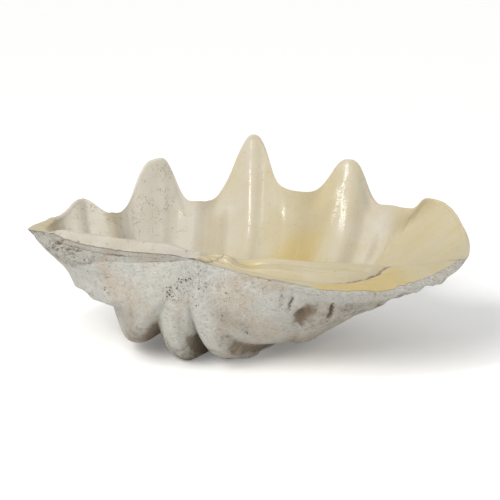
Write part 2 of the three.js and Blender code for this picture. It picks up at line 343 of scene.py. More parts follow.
def furrow_depth(u, v, calm, s):
    """Rib depth times onset times wave. Furrows crowd together right of the beak, wander a little, and are shallower
    where the first and the last one leave it."""
    fade = rib_fade(u)
    crowded = 0.042 * ease(u, 0.46, 0.53) * ease(LAST_NOTCH - u, 0, 0.09) * (1 - ease(v, 0.12, 0.4))
    wander = 0.004 * lattice(calm / 55, 3) * ease(v, 0.05, 0.3) * ease(1 - v, 0, 0.12) * fade
    place = np.clip(u - crowded + wander, 0, 1)
    soft = ease(v, 0.55, 0.95) + 0.8 * (1 - ease(v, 0.05, 0.16))
    soft = np.maximum(soft, 0.9 * ease(u, 0.6, 0.67) * (1 - ease(v, 0.32, 0.5)))
    at_first, at_last = bell((place - FIRST_NOTCH) / 0.07), bell((u - 0.675) / 0.06)
    depth = s.rib_depth * onset(place, v) * wave(place, soft) * fade * calmer(u, v)
    depth *= 1 - 0.92 * at_first * (1 - ease(v, 0.25, 0.45))
    depth *= 1 - 0.25 * at_first * (1 - ease(v, 0.66, 0.95))
    return depth * (1 - 0.55 * at_last * (1 - ease(v, 0.36, 0.55)))


def dorsal_depth(u, v, calm):
    """Left: a sharp crease and the hollow above it. Right: a knobbly bead along the dorsal margin, with nicks where
    a lattice of v runs high."""
    seat = crease_place(v) + 0.002 * lattice(calm / 14, 27)
    shown = ease(v, 0.03, 0.1) * ease(0.66 - v, 0, 0.15)
    left = shown * (1.2 * bell((u - seat) / 0.0035) + 1.2 * bell((u - seat * 0.55) / (seat * 0.45)))
    knobbly = 1 + 0.6 * lattice(calm / 13, 28) + 0.5 * lattice(calm / 6, 29)
    bead = 3.5 * bell((u - 0.984) / 0.018) * ease(v, 0.3, 0.45) * (1 - 0.7 * ease(v, 0.8, 0.95)) * knobbly
    nicks = ease(flat_lattice(v * 34, 0 * v, 30), 0.25, 0.6) + 0.5 * ease(flat_lattice(v * 90, 0 * v, 32), 0.2, 0.6)
    return left - bead + 4.0 * nicks * bell((u - 0.962) / 0.028) * ease(v, 0.4, 0.5) * ease(1 - v, 0, 0.1)


def layer_height(u, v, calm, s):
    """Growth ledges, slanting on the right, and one thick scute there, which steps up along a slanted line of growth
    and thins out behind it."""
    right = ease(u, 0.8, 0.88)
    steps = s.ledge_depth * (rib_fade(u) + 1.1 * right * ease(v, 0.4, 0.5))
    steps *= ledges(v + 0.25 * (u - 0.8) * right, calm, 11, 11)
    steps *= ease(v, 0.12, 0.35) * ease(1 - v, 0, 0.04) * ease(1 - u, 0, 0.03)
    past = v - (0.463 - 0.45 * (u - 0.779)) + 0.004 * lattice(calm / 9, 23)
    scute = ease(past, -0.004, 0.004) * ease(0.17 - past, 0, 0.17)
    return steps + 6 * scute * ease(u, 0.735, 0.78) * ease(0.945 - u, 0, 0.03)


def flute_depth(u, v, calm):
    """Pleats under the right margin: a cosine of 23 turns along v, bent by a lattice."""
    folds = 0.5 + 0.5 * np.cos(2 * np.pi * 23 * v + 2.5 * lattice(calm / 30, 22))
    return 1.6 * folds * ease(u, 0.86, 0.9) * ease(0.965 - u, 0, 0.02) * ease(v, 0.42, 0.5) * ease(1 - v, 0, 0.06)


def outer_face(u, v, s):
    """The fan, sunk toward the bowl by furrows, crease, clefts, flutes, knobs and weathered lumps, raised by its
    layers, and worn flat at the level that it rests on."""
    calm = fan(OUTER_GUIDES, BEAK, outer_edge, u, v)
    n = toward_bowl(OUTER_GUIDES, BEAK, outer_edge, u, v)
    sink = furrow_depth(u, v, calm, s) + dorsal_depth(u, v, calm) - layer_height(u, v, calm, s)
    sink += slit_depth(u, v, calm) + spots(KNOBS, u, v) + flute_depth(u, v, calm)
    rugged = 0.6 + 0.5 * ease(u, 0.45, 0.65) + 0.4 * lattice(calm / 90, 43)
    sink += s.lump_depth * rugged * rough(calm, 46, 41, 4) * ease(v, 0, 0.1) * ease(1 - v, 0, 0.05)
    p = calm + n * sink[..., None]
    p[..., 2] = np.maximum(p[..., 2], REST_LEVEL)
    return p


def inner_face(u, v, s):
    """The fan from the hinge plate, raised by rib depth times wave between the lobes' troughs, evened out under the
    margin, with a slight swell."""
    def edge(x, height):
        """The inner edge behind the lip's wall."""
        return inner_edge(x, s.lip, height)

    calm = fan(INNER_GUIDES, PLATE, edge, u, v)
    n = toward_bowl(INNER_GUIDES, PLATE, edge, u, v)
    depth = RIB_DEPTH_INSIDE + (s.rib_depth - RIB_DEPTH_INSIDE) * ease(v, 0.45, 0.8)
    share = follow(INSIDE, u)
    share += (1 - share) * ease(v, 0.86, 0.98)
    share *= 1 - 0.42 * ease(u, 0.22, 0.35) * (1 - ease(v, 0.74, 0.97))
    share *= 1 - 0.5 * bell((u - 0.62) / 0.06) * (1 - ease(v, 0.88, 0.99))
    rise = depth * share * ease(v, 0.08, 0.5) * wave(u, 1) * rib_fade(u) * calmer(u, v)
    under_margin = ease(v, 0.78, 0.88) * (1 - ease(v, 0.95, 1))
    rise += under_margin * bells(WALL_EVEN, u)
    rise += 0.9 * rough(calm, 60, 51, 2) * ease(v, 0, 0.2) * ease(1 - v, 0, 0.05)
    return calm + n * rise[..., None]


def holes(h, s):
    """Millimetres worn away in the holes: spots, ragged at their edges."""
    return spots(HOLES, h + 0.006 * flat_lattice(h * 120, s * 12, 35), s)


def tooth_groove(h, s):
    """1 along the crooked groove beside the beak, falling as a bell across it."""
    along = ease(h, -0.06, -0.02) * ease(0.16 - h, 0, 0.04)
    return bell((s - follow(TOOTH, h)) / 0.045) * along


def ligament_seat(h, s):
    """1 on the seat, outside the ligament groove, and 0 on the plate."""
    return ease(follow(LIGAMENT, h) - s, 0, 0.08) * ease(-h, 0.03, 0.15)


def right_relief(h, s):
    """Right of the beak: an S up from the groove to the lateral ridge, the groove's own bell, and wavy lines on the
    tooth, a sine of s and h bent by a lattice."""
    groove = follow(GROOVE, h)
    on_ridge = ease(s - groove, 0, 0.1) * ease(h, 0.12, 0.34)
    z = 6.5 * on_ridge * ease(0.8 - h, 0, 0.12) * (1 - 0.5 * ease(h, 0.52, 0.72))
    z -= 2.4 * bell((s - groove + 0.02) / 0.03) * ease(h, 0.3, 0.42) * ease(0.8 - h, 0, 0.06)
    wavy = np.sin(2 * np.pi * (s * 6 + 5 * h + 0.35 * flat_lattice(h * 40, s * 9, 62)))
    z += 0.9 * wavy * bell((h - 0.09) / 0.09) * ease(s, 0.1, 0.3)
    lines = flat_lattice(h * 6, s * 26, 61)
    return z + (0.55 + 0.6 * on_ridge) * lines * ease(s, 0.1, 0.3) * ease(0.85 - np.abs(h), 0, 0.2)


def left_relief(h, s):
    """Left of the beak: the striped and pitted ligament seat, the groove's own bell, the rounded plate above it, and
    a bell along the plate's inner edge."""
    cleft = follow(LIGAMENT, h)
    z = ease(s - cleft, 0, 0.16) * ease(-h, 0.05, 0.2) * (1.6 + 2.2 * bell((s - cleft - 0.34) / 0.3))
    z -= 1.7 * bell((s - cleft + 0.01) / 0.022) * ease(-h, 0, 0.06)
    z += 6.5 * bell((s - 0.8) / 0.17) * ease(-h, 0.05, 0.25) * (1 - ease(-h, 0.82, 1))
    stripes = flat_lattice(s / np.maximum(cleft, 0.05) * 7, h * 5, 31)
    sunk = 3.5 * ease(flat_lattice(h * 34, s * 13, 33), 0.45, 0.75) * ease(-h, 0.35, 0.6)
    return z + ligament_seat(h, s) * (0.8 * stripes - 0.5 * bell((s - cleft * 0.55) / (cleft * 0.4 + 0.02)) - sunk)


def hinge_relief(h, s):
    """Millimetres above the band's rungs: both sides' relief and the mounds, less the holes and tooth groove."""
    return right_relief(h, s) + left_relief(h, s) + spots(MOUNDS, h, s) - holes(h, s) - 1.6 * tooth_groove(h, s)


def band(around, s, outer, inner):
    """Straight rungs from outer to inner edge: a half-round lip along the back, the hinge's relief in front."""
    rung = np.linalg.norm(inner - outer, axis=-1)[:, None]
    p = outer[:, None] * (1 - s)[None, :, None] + inner[:, None] * s[None, :, None]
    h = around["hinge"][:, None] + 0 * s[None, :]
    s = s[None, :] + 0 * h
    ends = ease(1 - np.abs(h), 0, 0.15) * ease(s, 0, 0.03) * ease(1 - s, 0, 0.1)
    half_round = np.sqrt(np.maximum(0, 1 - (2 * s - 1) ** 2))
    p[..., 2] += LIP_ROUND * np.minimum(rung, LIP_WIDEST) * around["lip"][:, None] * half_round
    p[..., 2] += hinge_relief(h, s) * ends
    return p


def relax(co, four, weight, rounds=24):
    """Moves each vertex toward the mean of its neighbours by its weight, again and again, to round sharp seams."""
    pairs = np.concatenate([four[:, [0, 1]], four[:, [1, 2]], four[:, [2, 3]], four[:, [3, 0]]])
    count = np.bincount(pairs[:, 0], minlength=len(co)) + np.bincount(pairs[:, 1], minlength=len(co))
    for _ in range(rounds):
        total = np.stack([np.bincount(pairs[:, 0], co[pairs[:, 1], k], len(co))
                          + np.bincount(pairs[:, 1], co[pairs[:, 0], k], len(co)) for k in range(3)], -1)
        co = co + (total / count[:, None] - co) * weight[:, None]
    return co


def quads(grid, flip=False):
    """Four corners of every cell of a grid of vertex numbers."""
    q = np.stack([grid[:-1, :-1], grid[:-1, 1:], grid[1:, 1:], grid[1:, :-1]], -1).reshape(-1, 4)
    return q[:, ::-1] if flip else q


def valve_mesh(s):
    """Closed skin: outer fan, inner fan and the band between them share their edge vertices. The band's walk goes
    from the beak along the left dorsal margin, round the back and home along the right one."""
    nu, nv, ns = s.around, s.along, s.across
    u = np.linspace(0, 1, nu + 1)[:, None] + np.zeros((1, nv + 1))
    v = np.linspace(0, 1, nv + 1)[None, :] + np.zeros((nu + 1, 1))
    outer, inner = outer_face(u, v, s), inner_face(u, v, s)
    outer[:, 0], inner[:, 0] = BEAK, PLATE
    per_face = (nu + 1) * nv
    number = np.arange(per_face).reshape(nu + 1, nv)
    o = np.concatenate([np.zeros((nu + 1, 1), int), number + 1], 1)
    i = o + per_face + 1
    walk_i = np.concatenate([np.zeros(nv, int), np.arange(nu), np.full(nv, nu)])
    walk_j = np.concatenate([np.arange(nv), np.full(nu, nv), np.arange(nv, 0, -1)])
    side = np.where(walk_i < nu / 2, -1.0, 1.0)
    around = {"hinge": side * walk_j / nv, "lip": np.where(walk_j == nv, rib_fade(walk_i / nu), 0.0)}
    t = np.linspace(0, 1, ns + 1)
    rungs = band(around, t, outer[walk_i, walk_j], inner[walk_i, walk_j])
    first = 2 * (per_face + 1)
    rung_numbers = first + np.arange(len(walk_i) * (ns - 1)).reshape(len(walk_i), ns - 1)
    b = np.concatenate([o[walk_i, walk_j][:, None], rung_numbers, i[walk_i, walk_j][:, None]], 1)
    b = np.concatenate([b, b[:1]], 0)

    co = np.concatenate([[BEAK], outer[:, 1:].reshape(-1, 3), [PLATE], inner[:, 1:].reshape(-1, 3),
                         rungs[:, 1:-1].reshape(-1, 3)])
    four = np.concatenate([quads(o[:, 1:]), quads(i[:, 1:], True), quads(b)])
    three = np.concatenate([np.stack([o[:-1, 0], o[:-1, 1], o[1:, 1]], -1),
                            np.stack([i[:-1, 0], i[1:, 1], i[:-1, 1]], -1)])
    marks = valve_marks(s, u, v, outer, around, t)
    return relax(co, four, marks.pop("seam")), four, three, marks


def furrow_silt_and_shade(u, v):
    """Silt with painted shade in the furrows: 1 in furrows away from the beak, by an S of the wave's place, fainter
    at the first and the last furrow.
    """
    silt_and_shade = ease(follow(WAVES, u), 0.5, 1.0) * rib_fade(u) * ease(v, 0.14, 0.34)
    silt_and_shade *= 1 - 0.8 * bell((u - FIRST_NOTCH) / 0.05)
    return silt_and_shade * (1 - 0.62 * bell((u - 0.69) / 0.055) * (1 - ease(v, 0.36, 0.5)))


def seat_side(u, v):
    """1 above the outside's crease, on the face under the ligament seat, and 0 below it."""
    return ease(crease_place(v) - u, -0.002, 0.004) * ease(v, 0.02, 0.1)


def bowl_polish(u, v):
    """Share of the wet gloss inside, by S curves of the wave: whole along the middles of the third and fourth
    lobes' troughs and in a few spots, less on the right wall, a trace elsewhere."""
    middles = (1 - ease(wave(u, 1), 0.0, 0.09)) * (1 - 0.8 * bell((u - 0.479) / 0.005))
    middles = middles * ease(u, 0.4, 0.44) * ease(0.592 - u, 0, 0.014) - bell((u - 0.547) / 0.008)
    return 0.06 + 0.94 * np.clip(middles + spots(POLISH_SPOTS, u, v) + 0.3 * ease(u, 0.62, 0.7), 0, 1)


def bowl_ivory_and_shade(u, v):
    """Depth of the ivory tint inside, by S curves: more to the right and away from the margin, and in troughs;
    beside the first and third notches it is partly painted shade.
    """
    ivory_and_shade = 0.02 + 0.26 * ease(u, 0.3, 0.45) + 0.18 * ease(u, 0.6, 0.75) + 0.4 * ease(0.12 - u, 0, 0.06)
    ivory_and_shade += 0.5 * ease(0.86 - v, 0, 0.3) + bells(IVORY_AND_SHADE_TROUGHS, u)
    # painted shade as a deeper yellow on the flank right of the third notch, on top of its tint
    return ivory_and_shade + 0.45 * bell((u - 0.514) / 0.024) * ease(0.955 - v, 0, 0.09)


def band_ivory(h, s):
    """Ivory tint of the hinge: straw on the shelf before the ridge's groove and in the socket, white on the left."""
    shelf = ease(follow(GROOVE, h) - s, 0.02, 0.12) * ease(h, 0.38, 0.5) * ease(0.92 - h, 0, 0.35)
    shelf *= 1 - 0.75 * ease(s, 0.7, 1)
    socket = bell((h - 0.215) / 0.06) * bell((s - 0.62) / 0.22)
    right = 0.45 + 0.55 * shelf + 0.4 * socket + 0.1 * ease(h, 0.8, 1)
    return np.where(h > 0, right, 0.05 + 0.3 * ease(-h, 0.9, 1))


def outer_dirt_and_shade(u, v, p):
    """Silt and painted shade outside: silt with painted shade in furrows; painted shade on faces that look down and
    on the lower front of the middle ribs; darker on the flutes and on the face under the ligament seat; silt at the
    left end; silt with painted shade along the crease, in spots, and in slits by their depth."""
    looks_down = ease(toward_bowl(OUTER_GUIDES, BEAK, outer_edge, u, v)[..., 2], 0.35, 0.95)
    silt_and_shade, seat = furrow_silt_and_shade(u, v), crease_place(v)
    # silt with painted shade in furrows, and painted shade on faces that look down
    dirt_and_shade = silt_and_shade * (0.4 + 0.75 * ease(0.62 - v, 0, 0.25)) + 0.22 * looks_down * ease(v, 0.12, 0.22)
    dirt_and_shade += 0.25 * ease(u, 0.82, 0.88) * ease(v, 0.3, 0.45) * ease(0.97 - u, 0, 0.02)
    # painted shade on the lower front of the middle ribs
    dirt_and_shade += 0.32 * ease(u, 0.2, 0.36) * ease(0.78 - u, 0, 0.12) * ease(v, 0.14, 0.34)
    dirt_and_shade += 0.3 * ease(0.09 - u, 0, 0.05) * ease(v, 0.8, 1) + 0.26 * seat_side(u, v)
    # darker along the crease: silt with painted shade
    dirt_and_shade += 0.35 * bell((u - seat) / 0.003) * ease(v, 0.03, 0.1) * ease(0.66 - v, 0, 0.15)
    # darker in spots and in slits by their depth: silt with painted shade
    return np.maximum(dirt_and_shade + spots(DIRT_AND_SHADE_SPOTS, u, v), slit_depth(u, v, p) / 4.5)


def band_dirt_and_shade(h, s):
    """Silt on the hinge, with painted shade in its crack and grooves: bells along the crack beside the ridge, the
    ligament groove and the tooth, in holes and in peppered pits, broken by a lattice."""
    cleft, groove = follow(LIGAMENT, h), follow(GROOVE, h)
    broken = flat_lattice(h * 30, s * 10, 34)
    peppered = ease(flat_lattice(h * 150, s * 22, 38), 0.3, 0.55)
    # darker along the crack beside the ridge: silt with painted shade
    dirt_and_shade = 1.9 * bell((s - groove + 0.02) / 0.017) * ease(h, 0.42, 0.66) * ease(0.8 - h, 0, 0.06)
    dirt_and_shade += 0.6 * bell((s - cleft + 0.01) / 0.022) * ease(-h, 0.02, 0.1) * (0.75 + 0.6 * broken)
    dirt_and_shade += 0.06 * ligament_seat(h, s) + 0.28 * bell((h - 0.06) / 0.06) * ease(s, 0.05, 0.2)
    dirt_and_shade += 0.15 * ease(-h, 0.02, 0.1) + 0.35 * ease(np.abs(h), 0.95, 1) + 0.35 * holes(h, s)
    dirt_and_shade += 1.2 * peppered * bell((h - 0.265) / 0.045) * bell((s - 0.06) / 0.05)
    dirt_and_shade += 0.75 * bell((h - 0.015) / 0.045) * bell((s - 0.12) / 0.07) * (0.7 + 0.5 * broken)
    return np.clip(dirt_and_shade + 1.1 * tooth_groove(h, s) * (0.7 + 0.6 * broken), 0, 1)


def band_glaze(h, s):
    """Glaze on the hinge: thin on the left above the ligament groove, full on the right inside a ragged border."""
    left = 0.6 * ease(s - follow(LIGAMENT, h), 0.02, 0.14)
    ragged = flat_lattice(h * 45, 0 * h, 36) + 0.7 * flat_lattice(h * 130, s * 9, 37)
    return np.where(h < 0, left, ease(s - (follow(CHALKY, h) + 0.03 * ragged), -0.05, 0.05))


def seam_weights(s, u, v, h, across, back):
    """Weights for relax, for outside, inside and band: bells of the distance to the seam in cells or in s."""
    def hinge_u(cells):
        """Bell of the distance to the nearer dorsal margin, that many cells wide."""
        return bell(np.minimum(u, 1 - u) * s.around / cells)

    rim = bell((1 - v) * s.along / 0.8)
    wide = 2.5 + 7 * ease(u, 0.5, 0.6) * ease(v, 0.45, 0.65)
    reach = 0.1 + 0.22 * ease(h, 0.62, 0.8)
    return (0.3 * np.maximum(hinge_u(2.2) * ease(v, 0, 0.1), rim * 0.5),
            0.45 * np.maximum(hinge_u(wide), rim * 0.4),
            0.45 * np.maximum(0.5 * bell(across / 0.04), bell((1 - across) / reach)) * (1 - 0.7 * back))


def valve_marks(s, u, v, outer, around, t):
    """Per-vertex numbers for the finish, and the seam weights. Each is worked out for outside, inside and band, then
    joined in the order of the vertices."""
    def join(on_outer, on_inner, on_band):
        """One value for the beak, one for the plate, and the band's without the edges that it shares."""
        width = on_outer.shape[2:]
        return np.concatenate([on_outer[:1, 0], on_outer[:, 1:].reshape(-1, *width), on_inner[:1, 0],
                               on_inner[:, 1:].reshape(-1, *width), on_band[:, 1:-1].reshape(-1, *width)])

    def carried(on_inner):
        """The inner wall's value at the margin, held across the lip."""
        return np.interp(walk_u, u[:, 0], on_inner[:, -1]) + 0 * h

    h = around["hinge"][:, None] + 0 * t[None, :]
    across = t[None, :] + 0 * h
    start, end = np.zeros(s.along), np.ones(s.along)
    out = np.linspace(0, 1, s.along + 1)[:-1]
    walk_u = np.concatenate([start, np.linspace(0, 1, s.around + 1)[:-1], end])[:, None]
    walk_v = np.concatenate([out, np.ones(s.around), np.linspace(1, 0, s.along + 1)[:-1]])[:, None]
    back = np.concatenate([start, np.ones(s.around), start])[:, None]  # 1 on the lip, 0 on the hinge
    on_lip = back + 0 * h > 0
    turn = 0.06 * np.sin(np.pi * across)  # keeps the growth lines running where the band turns
    grow = np.stack([walk_u + np.sign(h) * turn * (1 - back), walk_v + turn * back, 0 * h], -1)
    fan_grow = np.stack([u, v, 0 * u], -1)

    polish, ivory_and_shade = bowl_polish(u, v), bowl_ivory_and_shade(u, v)
    side, seat = seat_side(u, v), ligament_seat(h, across)
    # the tan film, with painted shade in the furrows toward the beak
    patina_and_shade = spots(PATINA_AND_SHADE_SPOTS, u, v) + 0.12 * side + 0.4 * furrow_silt_and_shade(u, v) * (1 - v)
    patina_and_shade += 0.3 * ease(0.1 - u, 0, 0.05) * ease(v, 0.75, 1)
    inner_patina = 0.1 * ease(0.42 - u, 0, 0.08) * ease(v, 0.5, 0.8)
    band_patina = (0.38 - 0.22 * seat) * ease(-h, 0.02, 0.2) + 0.25 * bell(h / 0.04) + 0.1
    pitting = 0.12 + 0.75 * bell((v - 0.07) / 0.07) * ease(u, 0.15, 0.35) * ease(0.9 - u, 0, 0.2)
    pitting += 0.9 * side * ease(v, 0.3, 0.45) + spots(PIT_SPOTS, u, v)
    specks = 0.85 * ease(0.4 - u, 0, 0.1) * ease(v, 0.6, 0.8)
    band_pits = np.where(h < 0, 0.42 + 0.2 * seat + 0.3 * ease(-h, 0.55, 0.7), 0.1)
    return {
        "growth": join(fan_grow, fan_grow, grow),
        "glaze": join(0 * u, 0 * u + 1, np.where(on_lip, ease(across, 0, 0.08), band_glaze(h, across))),
        "polish": join(0 * u, polish, np.where(on_lip, carried(polish), 0.5)),
        "ivory_and_shade": join(0 * u, ivory_and_shade, np.where(on_lip, carried(ivory_and_shade), band_ivory(h, across))),
        "dirt_and_shade": join(outer_dirt_and_shade(u, v, outer), 0 * u, band_dirt_and_shade(h, across) * (1 - back)),
        "patina_and_shade": join(patina_and_shade, inner_patina, band_patina * (1 - back)),
        "pitting": join(pitting, specks, band_pits * (1 - back) + specks.mean() * back),
        "seam": join(*seam_weights(s, u, v, h, across, back)),
    }


def make_piece(name, co, four, three, marks, offset):
    """Puts vertices, faces and marks into a smooth mesh whose object stays at the origin."""
    me = bpy.data.meshes.new(name)
    loops = np.concatenate([four.ravel(), three.ravel()])
    total = np.concatenate([np.full(len(four), 4), np.full(len(three), 3)])
    start = np.concatenate([[0], np.cumsum(total)[:-1]])
    me.vertices.add(len(co))
    me.vertices.foreach_set("co", (co * MM + offset).astype(np.float32).ravel())
    me.loops.add(len(loops))
    me.loops.foreach_set("vertex_index", loops.astype(np.int32))
    me.polygons.add(len(total))
    me.polygons.foreach_set("loop_start", start.astype(np.int32))
    me.polygons.foreach_set("loop_total", total.astype(np.int32))
    me.polygons.foreach_set("use_smooth", np.ones(len(total), bool))
    for key, values in marks.items():
        vector = values.ndim > 1
        mark = me.attributes.new(key, "FLOAT_VECTOR" if vector else "FLOAT", "POINT")
        mark.data.foreach_set("vector" if vector else "value", values.astype(np.float32).ravel())
    me.update(calc_edges=True)
    me.validate()
    piece = bpy.data.objects.new(name, me)
    bpy.context.scene.collection.objects.link(piece)
    return piece


# ---- finish ----
def linear(hexed):
    """Linear RGBA, from sRGB hex by a straight toe and then the power 2.4, or from linear RGB."""
    if not isinstance(hexed, str):
        return (*hexed[:3], 1.0)
    c = np.array([int(hexed[i:i + 2], 16) / 255 for i in (1, 3, 5)])
    c = np.where(c <= 0.04045, c / 12.92, ((c + 0.055) / 1.055) ** 2.4)
    return (*(float(x) for x in c), 1.0)


def add_node(tree, kind, links=(), out=0, **settings):
    """Adds a node with its settings, links or sets its inputs, and gives back one output, if it has any."""
    node = tree.nodes.new("ShaderNode" + kind)
    for key, value in settings.items():
        setattr(node, key, value)
    for key, source in dict(links).items():
        if isinstance(source, bpy.types.NodeSocket):
            tree.links.new(source, node.inputs[key])
        else:
            node.inputs[key].default_value = source
    return node.outputs[out] if node.outputs else None


def empty_material(name):
    """A material with an empty node tree, and the function that adds nodes to it."""
    material = bpy.data.materials.new(name)
    material.use_nodes = True
    material.node_tree.nodes.clear()
    return material, partial(add_node, material.node_tree)


def shell_finish(c):
    """Crossed-lamellar aragonite, grown in layers. Weathered by the sea it is dead matt, chalky, grained and pitted.
    Inside it is dense and polished by the mantle, so it gives the eye a porcelain sheen over ivory."""
    material, n = empty_material("weathered_and_porcelaneous_aragonite")
    smooth, plus = {"interpolation_type": "SMOOTHSTEP"}, {"operation": "MULTIPLY_ADD"}  # plus: 0 times 1, plus 2
    times, less = {"operation": "MULTIPLY"}, {"operation": "SUBTRACT"}
    mix = {"out": 2, "data_type": "RGBA"}  # inputs 0, 6 and 7 are the factor and the two colours
    at = n("Mapping", {"Vector": n("TexCoord", out="Object"), "Scale": (1000, 1000, 1000)})  # millimetres
    growth = n("Attribute", out="Vector", attribute_name="growth")
    glaze_mark, ivory_and_shade_mark, dirt_and_shade_mark, pitting, patina_and_shade, polish = (
        n("Attribute", out="Fac", attribute_name=k)
        for k in ("glaze", "ivory_and_shade", "dirt_and_shade", "pitting", "patina_and_shade", "polish"))
    # noises by the size of their widest patch in millimetres
    clouds, veil, blotch, patchy, fleck, grain = (
        n("TexNoise", {"Vector": at, "Scale": 1 / size, "Detail": detail, "Roughness": harshness})
        for size, detail, harshness in (
            (75, 2, .5), (40, 3, .5), (16, 4, .62), (8, 5, .68), (4, 3, .6), (1.5, 3, .7)))
    # lines along the ribs, at halts in growth, and streaks along the ribs, by how many fit round and along the fan:
    # 3, 2 and 12 mm apart at the margin; real growth lines are finer, and are drawn this coarse so that they show
    striae, halts, streaks = (
        n("TexNoise", {"Vector": n("Mapping", {"Vector": growth, "Scale": (around, along, 1)}), "Scale": 1,
                       "Detail": detail, "Roughness": harshness})
        for around, along, detail, harshness in ((330, 7, 3, .5), (9, 150, 4, .65), (75, 3, 4, .5)))
    glaze = n("MapRange", {"Value": n("Math", {0: patchy, 1: .5, 2: glaze_mark}, **plus),
                           "From Min": .62, "From Max": .8}, **smooth)

    # chalk: cool and warm clouds, rubbed light patches, shaded grain and lines
    chalk = linear(c.chalk_cool)
    for pattern, low, high, amount, tone in (
            (clouds, .47, .66, 1, c.chalk_warm), (blotch, .45, .75, .6, c.chalk_light),
            (patchy, .5, .28, .42, c.chalk_shade), (grain, .55, .3, .3, c.chalk_shade),
            (striae, .5, .3, .18, c.chalk_shade), (halts, .48, .26, .2, c.chalk_shade),
            (fleck, .42, .3, .35, c.chalk_shade)):
        share = n("MapRange", {"Value": pattern, "From Min": low, "From Max": high, "To Max": amount}, **smooth)
        chalk = n("Mix", {0: share, 6: chalk, 7: linear(tone)}, **mix)
    # silt lodged in furrows, clefts and the ligament seat, in the silt colour, together with painted shade on faces
    # that look down, on the lower middle ribs, in furrows, grooves and slits
    silt_and_shade_level = n("Math", {0: dirt_and_shade_mark, 1: .95, 2: n("Math", {0: patchy, 1: .75}, **times)}, **plus)
    silt_and_shade_level = n("Math", {0: n("Math", {0: blotch, 1: .5}, **less), 1: .9, 2: silt_and_shade_level}, **plus)
    silt_and_shade = n("MapRange", {"Value": silt_and_shade_level, "From Min": .52, "From Max": 1.2, "To Max": .85}, **smooth)
    chalk = n("Mix", {0: silt_and_shade, 6: chalk, 7: linear(c.dirt_and_shade)}, **mix)
    # bored and eroded pits: irregular, 4.2 and 1.9 mm apart, only where pitting is high
    bend = n("TexNoise", {"Vector": at, "Scale": 1 / 3}, "Color")
    warped = n("Mix", {0: .35, 4: at, 5: bend}, 1, data_type="VECTOR")
    wide, narrow = (
        n("MapRange", {"Value": n("TexVoronoi", {"Vector": warped, "Scale": 1 / apart}, "Distance"),
                       "From Min": reach, "From Max": reach * .4}, **smooth)
        for apart, reach in ((4.2, .3), (1.9, .36)))
    crowd = n("Math", {0: pitting, 1: .26, 2: n("TexNoise", {"Vector": at, "Scale": 1 / 17, "Detail": 4})}, **plus)
    pits = n("Math", {0: n("Math", {0: wide, 1: narrow}, operation="MAXIMUM"),
                      1: n("MapRange", {"Value": crowd, "From Min": .66, "From Max": .8}, **smooth)}, **times)
    chalk = n("Mix", {0: n("Math", {0: pits, 1: .8}, **times), 6: chalk, 7: linear(c.pit)}, **mix)

    # porcelain: white through ivory to straw in the deepest troughs, faint streaks down the fan, flecks
    # the ivory mark carries painted shade on the flanks beside the first and third notches
    tint = n("Math", {0: veil, 1: .5, 2: n("Math", {0: ivory_and_shade_mark, 1: .25}, **less)}, **plus)
    porcelain = linear(c.porcelain_white)
    for pattern, low, high, amount, tone in (
            (tint, 0, .5, 1, c.porcelain_ivory), (tint, .4, .95, 1, c.porcelain_straw),
            (streaks, .5, .75, .2, c.porcelain_white), (fleck, .42, .3, .25, c.chalk_shade)):
        share = n("MapRange", {"Value": pattern, "From Min": low, "From Max": high, "To Max": amount}, **smooth)
        porcelain = n("Mix", {0: share, 6: porcelain, 7: linear(tone)}, **mix)
    # the porcelain takes pits, and silt with painted shade, where the mark runs high
    marked = n("MapRange", {"Value": dirt_and_shade_mark, "From Min": .02, "From Max": .25})
    for share in (n("Math", {0: pits, 1: .3}, **times), n("Math", {0: silt_and_shade, 1: marked}, **times)):
        porcelain = n("Mix", {0: share, 6: porcelain, 7: linear(c.dirt_and_shade)}, **mix)
    colour = n("Mix", {0: glaze, 6: chalk, 7: porcelain}, **mix)
    # patina: a thin even tan film, a little cloudy, together with painted shade in the furrows near the beak and on
    # the third and fourth ribs' faces
    cloudy = n("MapRange", {"Value": veil, "From Min": .35, "From Max": .6, "To Min": .5})
    film = n("Math", {0: patina_and_shade, 1: cloudy}, **times)
    colour = n("Mix", {0: film, 6: colour, 7: linear(c.chalk_shade)}, **mix)

    # relief in millimetres: rough chalk, and porcelain that only swells a little
    chalk_relief = grain
    for pattern, height in ((blotch, 3.2), (patchy, 4.2), (fleck, 2.4), (striae, .7), (halts, 1.5), (pits, -2.0)):
        chalk_relief = n("Math", {0: pattern, 1: height, 2: chalk_relief}, **plus)
    swell = n("Math", {0: pits, 1: -.5, 2: n("Math", {0: blotch, 1: .22}, **times)}, **plus)
    swell = n("Math", {0: streaks, 1: .12, 2: swell}, **plus)
    relief = n("Math", {0: n("Math", {0: swell, 1: chalk_relief}, **less), 1: glaze, 2: chalk_relief}, **plus)
    bump = n("Bump", {"Height": relief, "Distance": MM, "Strength": 1.0})

    # polish: chalk is dead matt, porcelain has a satin body under a thin wet-looking gloss
    satin = n("MapRange", {"Value": veil, "From Min": .3, "From Max": .7, "To Min": .36, "To Max": .48})
    dull = n("Math", {0: n("Math", {0: satin, 1: .88}, **less), 1: glaze, 2: .88}, **plus)
    dull = n("Math", {0: n("Math", {0: 1.0, 1: polish}, **less), 1: .16, 2: dull}, **plus)
    unbroken = n("MapRange", {"Value": fleck, "From Min": .34, "From Max": .5, "To Max": .75})
    gloss = n("Math", {0: n("Math", {0: glaze, 1: unbroken}, **times), 1: polish}, **times)
    n("OutputMaterial", {"Surface": n("BsdfPrincipled", {
        "Base Color": colour, "Roughness": dull, "Normal": bump, "IOR": 1.53,  # aragonite
        "Coat Weight": gloss, "Coat Roughness": .14, "Coat IOR": 1.5, "Coat Normal": bump,
        "Subsurface Weight": .1, "Subsurface Radius": (.006, .0045, .003), "Subsurface Scale": 1.0})})
    return material


